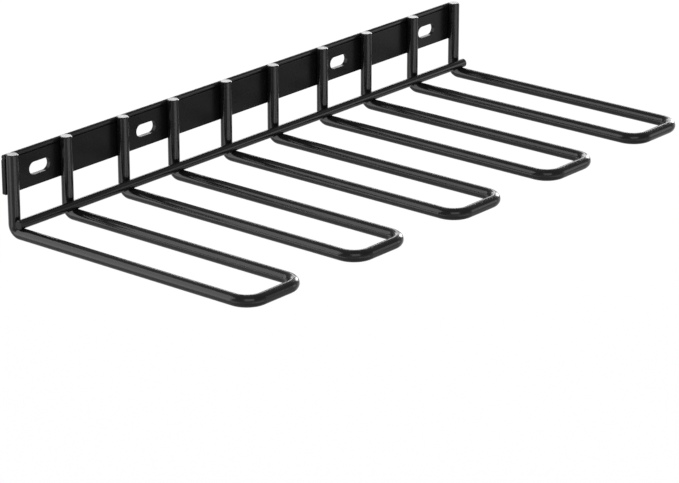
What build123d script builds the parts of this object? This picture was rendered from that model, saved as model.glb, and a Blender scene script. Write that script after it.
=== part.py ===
from build123d import *
import math
import os

# Wall rack for four hand tools. Five wire loops stand out from a slotted flat bar,
# a cross rod ties their feet together and a thin wire runs along the bar's top edge.
# Millimetres, +Z up, +X along the bar. The wall is the plane y = 0, and the origin
# is the centre of the slot pattern on the bar's back face.

# Tool loops, each one wire bent into two posts, two arms and a front bar
loop_count = 5
wire_diameter = 8.0         # wire of the loops
loop_width = 49.0           # between the two arm axes of one loop
tool_gap = 45.4             # clear space between neighbouring loops, for one tool
loop_reach = 200.5          # from the post axes to the front bar's axis
bend_inside = 1.6           # inside radius of the bend at each post's foot
corner_inside = 8.0         # inside radius of the two front corners
arm_drop = 36.6             # from the slots' centre line down to the arm axes
post_above_plate = 4.2      # cut post tops, above the plate's top edge
wire_end_chamfer = 0.5      # eased rim of the cut post tops

# Mounting plate, the flat bar with the screw slots
plate_thickness = 3.0
plate_height = 23.8
plate_end_setback = 0.7     # plate ends, inside the outer sides of the end posts
plate_corner_round = 0.8    # corners of the plate's outline
plate_edge_round = 0.6      # rim of the front face
slot_length = 19.0
slot_width = 8.6
slot_inset = 31.3           # from each plate end to the centre of the outer slot

# Cross rod, in the corner between the posts and the arms
rod_diameter = 6.3
rod_end_setback = 0.4       # rod ends, inside the outer sides of the end posts
rod_end_chamfer = 0.5       # eased rim of the rod ends

# Top wire, on the plate's top edge
top_wire_diameter = 3.5
top_wire_end_chamfer = 0.3  # eased rim of the top wire's ends
top_wire_seat = 0.1         # how deep its underside is welded flat onto the plate

# Welds and cuts
weld_set = 0.25             # how deep welded pieces sink into each other at a crossing
cut_overrun = 1.0           # how far a cutting body runs past the face it cuts

# Places worked out from the sizes above
wire_radius = wire_diameter / 2
rod_radius = rod_diameter / 2
top_wire_radius = top_wire_diameter / 2
loop_pitch = loop_width + wire_diameter + tool_gap
rack_half_length = ((loop_count - 1) * loop_pitch + loop_width + wire_diameter) / 2
plate_length = 2 * (rack_half_length - plate_end_setback)
rod_length = 2 * (rack_half_length - rod_end_setback)
plate_top = plate_height / 2
post_y = -(plate_thickness + wire_radius - weld_set)
post_top = plate_top + post_above_plate
arm_z = -arm_drop
front_bar_y = post_y - loop_reach
bend_radius = bend_inside + wire_radius
corner_radius = corner_inside + wire_radius

# The rod touches post and arm. One that is slimmer than the bend's inside rides up the bend.
bend_rise_share = 1 - 1 / math.sqrt(2)
rod_rise = max(0, bend_inside - rod_radius) * bend_rise_share
rod_offset = wire_radius + rod_radius - weld_set + rod_rise

# The two outer slots keep their distance from the plate's ends, and the two inner
# ones lie halfway between those and the middle.
outer_slot_x = plate_length / 2 - slot_inset
inner_slot_x = outer_slot_x / 2
slot_centres = [-outer_slot_x, -inner_slot_x, inner_slot_x, outer_slot_x]


def round_bar(radius, length, end_chamfer, y, z):
    """A straight round bar along X, centred on x = 0, with eased rims."""
    bar = Plane.YZ * Cylinder(radius, length)
    bar = chamfer(bar.edges().filter_by(GeomType.CIRCLE), end_chamfer)
    return Pos(0, y, z) * bar


def make_mounting_plate():
    """The flat bar, its front rim eased and four long screw slots cut through."""
    facing_out = Plane(origin=(0, 0, 0), x_dir=(1, 0, 0), z_dir=(0, -1, 0))
    outline = RectangleRounded(plate_length, plate_height, plate_corner_round)
    plate = extrude(facing_out * outline, plate_thickness)
    front_rim = plate.faces().sort_by(Axis.Y)[0].edges()
    plate = fillet(front_rim, plate_edge_round)
    slot = SlotOverall(slot_length, slot_width)
    for centre_x in slot_centres:
        cutter_plane = facing_out.offset(-cut_overrun) * Pos(centre_x, 0)
        plate -= extrude(cutter_plane * slot, plate_thickness + 2 * cut_overrun)
    return plate


def make_cross_rod():
    """The rod that lies on the arms, against the fronts of the posts."""
    return round_bar(rod_radius, rod_length, rod_end_chamfer, post_y - rod_offset, arm_z + rod_offset)


def make_top_wire():
    """The thin wire on the plate's top edge, flush with the plate's back and ends.

    Its weld leaves a narrow flat along the underside.
    """
    wire_y = -top_wire_radius
    wire_z = plate_top + top_wire_radius - top_wire_seat
    wire = round_bar(top_wire_radius, plate_length, top_wire_end_chamfer, wire_y, wire_z)
    below = (Align.CENTER, Align.CENTER, Align.MAX)
    seat = Box(plate_length + 2 * cut_overrun, top_wire_diameter, top_wire_diameter, align=below)
    return wire - Pos(0, wire_y, plate_top) * seat


def make_tool_loop(centre_x, welded_pieces):
    """One wire from a post top, down, out, across, back and up to the other post top.

    What is welded to the loop leaves a shallow seat where it has sunk into the wire.
    """
    left = centre_x - loop_width / 2
    right = centre_x + loop_width / 2
    turns = [
        (left, post_y, post_top),
        (left, post_y, arm_z),
        (left, front_bar_y, arm_z),
        (right, front_bar_y, arm_z),
        (right, post_y, arm_z),
        (right, post_y, post_top),
    ]
    radii = [bend_radius, corner_radius, corner_radius, bend_radius]
    path = FilletPolyline(*turns, radius=radii)
    section = Plane(origin=turns[0], z_dir=(0, 0, -1)) * Circle(wire_radius)
    loop = sweep(section, path=path)
    post_rims = loop.faces().filter_by(GeomType.PLANE).edges()
    loop = chamfer(post_rims, wire_end_chamfer)
    for piece in welded_pieces:
        loop -= piece
    return loop


def make_rack():
    """Every piece of the rack by name."""
    plate = make_mounting_plate()
    rod = make_cross_rod()
    top_wire = make_top_wire()
    pieces = {"mounting_plate": plate, "cross_rod": rod, "top_wire": top_wire}
    for index in range(loop_count):
        centre_x = (index - (loop_count - 1) / 2) * loop_pitch
        pieces[f"tool_loop_{index + 1}"] = make_tool_loop(centre_x, [plate, rod, top_wire])
    return pieces


os.makedirs("parts", exist_ok=True)
for name, piece in make_rack().items():
    export_step(piece, f"parts/{name}.step")
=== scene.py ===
import math

import bpy
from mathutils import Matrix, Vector

# The wall rack in a plain pale studio. Metres, in the part's own frame: +Z up, +X along the
# plate, and the wall is the plane y = 0. The loops stand out towards -Y.

# Camera, at the photograph's viewing angle
CAMERA_PLACE = (-1.5915, -1.41495, 0.6708)
CAMERA_YAW = 50.17       # degrees from +Y towards +X
CAMERA_PITCH = 20.13     # degrees down
CAMERA_LENS = 170.7      # millimetres, on the sensor below
CAMERA_SENSOR = 36.0     # millimetres wide
CAMERA_CLIP_END = 200.0  # far enough for the whole floor

# Floor
FLOOR_Z = -1.2
FLOOR_HALF = 30.0        # from its middle to each side
PAINTED_SHADE_RADIUS = 1.6        # painted shade: darker paper under the rack, standing in for the shade beneath it, out to here
PAPER_RADIUS = 1.9       # white paper from here on
# Painted shade: the darker paper's colour, standing in for the shade under the rack so that the
# wires' undersides mirror dark
PAINTED_SHADE_UNDER_RACK = 0.52
PAPER_SHADE = 0.93
PAPER_ROUGHNESS = 0.9
PAPER_GLOSS = 0.1
PAPER_GLOW = 0.9         # share of plain white in the white paper, where it is seen

# Surround
WORLD_STRENGTH = 0.42
HORIZON_STRENGTH = 0.93    # near the horizon and below it, where it is seen
HORIZON_FADE = (0.1, 0.3)  # Z of the direction, from all of that white to none

# Noise in the coatings. The scale is in bumps per metre.
CLOUDS = {"scale": 38.0, "detail": 3.0, "roughness": 0.55}     # slow changes of colour and gloss
PEEL = {"scale": 900.0, "detail": 2.0, "roughness": 0.6}       # the orange peel of a powder coat
GRAIN = {"scale": 4200.0, "detail": 1.0, "roughness": 0.5}     # finer grain on the peel
STREAKS = {"scale": 620.0, "detail": 4.0, "roughness": 0.6}    # where tools have rubbed
CLOUD_RANGE = (0.3, 0.7)     # of the clouds' noise, stretched over the whole change
GRAIN_SHARE = 0.15           # height of the grain, as a share of the peel's
COATING_IOR = 1.5

# Rub marks in the coatings
RUB_STRETCH = 0.12           # along Y, so that the streaks are drawn out that way
RUB_RANGE = (0.50, 0.64)     # of the streaks' noise, from no mark to a full one
RUB_FACING = (0.70, 0.95)    # Z of the surface's normal, from no marks to all of them
RUB_TOP = -0.030             # above this no tool rests
RUB_FADE = 0.0015            # the marks come in over this height below it
RUB_SHADE = 0.015
RUB_DULLING = 0.16           # added to the roughness

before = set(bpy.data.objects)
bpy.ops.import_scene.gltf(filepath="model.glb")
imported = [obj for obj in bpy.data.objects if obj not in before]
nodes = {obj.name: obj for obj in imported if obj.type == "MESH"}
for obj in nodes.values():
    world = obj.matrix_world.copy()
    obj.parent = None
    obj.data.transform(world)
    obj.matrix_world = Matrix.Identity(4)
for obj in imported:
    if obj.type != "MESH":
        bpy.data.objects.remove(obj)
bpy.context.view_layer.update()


def grey(shade):
    """A neutral colour with full alpha."""
    return (shade, shade, shade, 1)


def feed(tree, socket, value):
    """Links another node's output to the socket, or sets a plain value on it."""
    if isinstance(value, bpy.types.NodeSocket):
        tree.links.new(value, socket)
    else:
        socket.default_value = value


def new_material(name):
    """An empty node material with its output and one principled shader."""
    material = bpy.data.materials.new(name)
    material.use_nodes = True
    tree = material.node_tree
    tree.nodes.clear()
    output = tree.nodes.new("ShaderNodeOutputMaterial")
    shader = tree.nodes.new("ShaderNodeBsdfPrincipled")
    tree.links.new(shader.outputs["BSDF"], output.inputs["Surface"])
    return material, tree, shader


def calculate(tree, operation, *values):
    """The result of one math node."""
    node = tree.nodes.new("ShaderNodeMath")
    node.operation = operation
    for socket, value in zip(node.inputs, values):
        feed(tree, socket, value)
    return node.outputs["Value"]


def scaled(tree, vector, factors):
    """The vector with each axis multiplied by its own factor."""
    node = tree.nodes.new("ShaderNodeVectorMath")
    node.operation = "MULTIPLY"
    feed(tree, node.inputs[0], vector)
    feed(tree, node.inputs[1], factors)
    return node.outputs["Vector"]


def length_of(tree, vector):
    """The vector's length."""
    node = tree.nodes.new("ShaderNodeVectorMath")
    node.operation = "LENGTH"
    feed(tree, node.inputs[0], vector)
    return node.outputs["Value"]


def z_of(tree, vector):
    """The vector's Z part."""
    node = tree.nodes.new("ShaderNodeSeparateXYZ")
    feed(tree, node.inputs["Vector"], vector)
    return node.outputs["Z"]


def noise(tree, vector, scale, detail, roughness):
    """A noise texture's value, mostly near a half."""
    node = tree.nodes.new("ShaderNodeTexNoise")
    feed(tree, node.inputs["Vector"], vector)
    feed(tree, node.inputs["Scale"], scale)
    feed(tree, node.inputs["Detail"], detail)
    feed(tree, node.inputs["Roughness"], roughness)
    return node.outputs["Fac"]


def remap(tree, value, from_range, to_range=(0.0, 1.0)):
    """The value, stretched from one range to another and kept within it."""
    node = tree.nodes.new("ShaderNodeMapRange")
    feed(tree, node.inputs["Value"], value)
    feed(tree, node.inputs["From Min"], from_range[0])
    feed(tree, node.inputs["From Max"], from_range[1])
    feed(tree, node.inputs["To Min"], to_range[0])
    feed(tree, node.inputs["To Max"], to_range[1])
    return node.outputs["Result"]


def mix_colours(tree, factor, first, second):
    """The first colour at factor 0, the second at 1."""
    node = tree.nodes.new("ShaderNodeMix")
    node.data_type = "RGBA"
    feed(tree, node.inputs["Factor"], factor)
    feed(tree, node.inputs["A"], first)
    feed(tree, node.inputs["B"], second)
    return node.outputs["Result"]


def mix_shaders(tree, factor, first, second):
    """The first shader at factor 0, the second at 1."""
    node = tree.nodes.new("ShaderNodeMixShader")
    feed(tree, node.inputs["Fac"], factor)
    feed(tree, node.inputs[1], first)
    feed(tree, node.inputs[2], second)
    return node.outputs["Shader"]


def seen_directly(tree):
    """1 for what the camera sees, straight or by way of a glossy or clear surface."""
    rays = tree.nodes.new("ShaderNodeLightPath").outputs
    glossy = calculate(tree, "MAXIMUM", rays["Is Camera Ray"], rays["Is Glossy Ray"])
    return calculate(tree, "MAXIMUM", glossy, rays["Is Transmission Ray"])


def rub_marks(tree, place):
    """0 to 1: faint streaks on top of the arms, drawn out the way that the tools slide in."""
    drawn_out = scaled(tree, place, (1, RUB_STRETCH, 1))
    streaks = remap(tree, noise(tree, drawn_out, **STREAKS), RUB_RANGE)
    normal = tree.nodes.new("ShaderNodeNewGeometry").outputs["Normal"]
    facing_up = remap(tree, z_of(tree, normal), RUB_FACING)
    on_arms = remap(tree, z_of(tree, place), (RUB_TOP, RUB_TOP - RUB_FADE))
    on_top = calculate(tree, "MULTIPLY", streaks, facing_up)
    return calculate(tree, "MULTIPLY", on_top, on_arms)


def black_coating(name, shades, roughness, gloss, peel_height):
    """Semi-gloss black powder coat: fine peel, slow clouds of gloss, duller where it is rubbed.

    The shades and the roughness are ranges, which the clouds run through.
    """
    material, tree, shader = new_material(name)
    place = tree.nodes.new("ShaderNodeTexCoord").outputs["Object"]
    clouds = noise(tree, place, **CLOUDS)
    rubbed = rub_marks(tree, place)

    clean = mix_colours(tree, remap(tree, clouds, CLOUD_RANGE), grey(shades[0]), grey(shades[1]))
    feed(tree, shader.inputs["Base Color"], mix_colours(tree, rubbed, clean, grey(RUB_SHADE)))

    clean_roughness = remap(tree, clouds, CLOUD_RANGE, roughness)
    worn_roughness = calculate(tree, "MULTIPLY_ADD", rubbed, RUB_DULLING, clean_roughness)
    feed(tree, shader.inputs["Roughness"], worn_roughness)
    feed(tree, shader.inputs["IOR"], COATING_IOR)
    feed(tree, shader.inputs["Specular IOR Level"], gloss)

    grain = noise(tree, place, **GRAIN)
    peel = noise(tree, place, **PEEL)
    bump = tree.nodes.new("ShaderNodeBump")
    feed(tree, bump.inputs["Strength"], 1.0)
    feed(tree, bump.inputs["Distance"], peel_height)
    feed(tree, bump.inputs["Height"], calculate(tree, "MULTIPLY_ADD", grain, GRAIN_SHARE, peel))
    feed(tree, shader.inputs["Normal"], bump.outputs["Normal"])
    return material


def dress_nodes():
    """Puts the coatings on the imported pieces, the duller one on the plate."""
    wire = black_coating(
        "wire_coating",
        shades=(0.0053, 0.0087),
        roughness=(0.14, 0.20),
        gloss=0.235,
        peel_height=2.4e-5,
    )
    plate = black_coating(
        "plate_coating",
        shades=(0.004, 0.006),
        roughness=(0.22, 0.30),
        gloss=0.135,
        peel_height=3.4e-5,
    )
    for name, node in nodes.items():
        coating = plate if name == "mounting_plate" else wire
        node.data.materials.clear()
        node.data.materials.append(coating)


def make_paper():
    """Paper with painted shade, a darker disc in the middle, white paper round it, and nothing to see
    from below.
    """
    material, tree, shader = new_material("floor_paper")
    place = tree.nodes.new("ShaderNodeTexCoord").outputs["Object"]
    radius = length_of(tree, scaled(tree, place, (1, 1, 0)))
    edge = (PAINTED_SHADE_RADIUS, PAPER_RADIUS)

    # Painted shade: the paper darkens towards the middle, under the rack
    shade = mix_colours(tree, remap(tree, radius, edge), grey(PAINTED_SHADE_UNDER_RACK), grey(PAPER_SHADE))
    feed(tree, shader.inputs["Base Color"], shade)
    feed(tree, shader.inputs["Roughness"], PAPER_ROUGHNESS)
    feed(tree, shader.inputs["Specular IOR Level"], PAPER_GLOSS)

    glow = remap(tree, radius, edge, (0.0, PAPER_GLOW))
    seen_glow = calculate(tree, "MULTIPLY", seen_directly(tree), glow)
    white = tree.nodes.new("ShaderNodeEmission").outputs["Emission"]
    paper = mix_shaders(tree, seen_glow, shader.outputs["BSDF"], white)

    from_below = tree.nodes.new("ShaderNodeNewGeometry").outputs["Backfacing"]
    clear = tree.nodes.new("ShaderNodeBsdfTransparent").outputs["BSDF"]
    one_sided = mix_shaders(tree, from_below, paper, clear)
    feed(tree, tree.nodes["Material Output"].inputs["Surface"], one_sided)
    return material


def make_floor():
    """A wide pale floor well under the rack."""
    mesh = bpy.data.meshes.new("floor")
    corners = [(-1, -1), (1, -1), (1, 1), (-1, 1)]
    points = [(x * FLOOR_HALF, y * FLOOR_HALF, FLOOR_Z) for x, y in corners]
    mesh.from_pydata(points, [], [(0, 1, 2, 3)])
    mesh.materials.append(make_paper())
    floor = bpy.data.objects.new("floor", mesh)
    bpy.context.scene.collection.objects.link(floor)


def make_world():
    """A pale surround, near white round the horizon where the camera sees it."""
    world = bpy.data.worlds.new("studio")
    bpy.context.scene.world = world
    world.use_nodes = True
    tree = world.node_tree
    direction = tree.nodes.new("ShaderNodeTexCoord").outputs["Generated"]
    added = remap(tree, z_of(tree, direction), HORIZON_FADE, (HORIZON_STRENGTH - WORLD_STRENGTH, 0.0))
    seen_white = calculate(tree, "MULTIPLY", seen_directly(tree), added)
    background = tree.nodes["Background"]
    feed(tree, background.inputs["Color"], grey(1))
    feed(tree, background.inputs["Strength"], calculate(tree, "ADD", seen_white, WORLD_STRENGTH))


def softbox(name, place, target, size, radiance, spread=180):
    """A soft rectangular lamp aimed at a point, its size as width and height, its spread in degrees.

    A radiance of 1 is white, however large the lamp is.
    """
    width, height = size
    lamp = bpy.data.lights.new(name, "AREA")
    lamp.shape = "RECTANGLE"
    lamp.size = width
    lamp.size_y = height
    lamp.energy = radiance * math.pi * width * height
    lamp.spread = math.radians(spread)
    holder = bpy.data.objects.new(name, lamp)
    holder.location = place
    holder.rotation_euler = (Vector(target) - Vector(place)).to_track_quat("-Z", "Y").to_euler()
    bpy.context.scene.collection.objects.link(holder)
    holder.visible_camera = False


def make_lamps():
    """Seven softboxes, most of them placed for what mirrors them."""
    # Behind the left end, for the arms' left sides
    softbox("left_softbox", (-1.9, 2.1, 0.9), (0, -0.1, 0), (2.4, 3.6), 3.3)
    # Low in front and low at the left, for the posts
    softbox("front_softbox", (-0.17, -2.9, -0.85), (0, 0, -0.1), (2.85, 0.7), 2.7)
    softbox("side_softbox", (-2.9, 0.4, -0.85), (0, 0.4, -0.3), (1.9, 0.7), 2.55)
    # In front of the right end, for the front bars and the rod
    softbox("right_softbox", (2.3, -1.9, 0.4), (0, -0.2, 0), (0.9, 1.3), 1.65)
    # Over the paper behind the rack, facing down, for the tops of the arms
    softbox("back_softbox", (3.7, 3.1, 1.5), (3.6, 3.0, -1.2), (2.6, 2.0), 5.1)
    # Far off at the right, for the loops' right front corners
    softbox("corner_softbox", (4.5, 1.05, 1.1), (0, -0.2, 0), (1.5, 1.9), 1.8, spread=70)
    # By the camera and above it, the key light
    softbox("key_softbox", (-1.8, -2.2, 1.9), (0, -0.1, 0), (2.2, 2.2), 2.4)


def make_camera():
    """The camera that the photograph was solved for."""
    data = bpy.data.cameras.new("camera")
    data.sensor_fit = "HORIZONTAL"
    data.sensor_width = CAMERA_SENSOR
    data.lens = CAMERA_LENS
    data.clip_end = CAMERA_CLIP_END
    camera = bpy.data.objects.new("camera", data)
    camera.location = CAMERA_PLACE
    camera.rotation_euler = (math.radians(90 - CAMERA_PITCH), 0, math.radians(-CAMERA_YAW))
    bpy.context.scene.collection.objects.link(camera)
    bpy.context.scene.camera = camera


dress_nodes()
make_floor()
make_world()
make_lamps()
make_camera()
bpy.context.scene.view_settings.view_transform = "Standard"
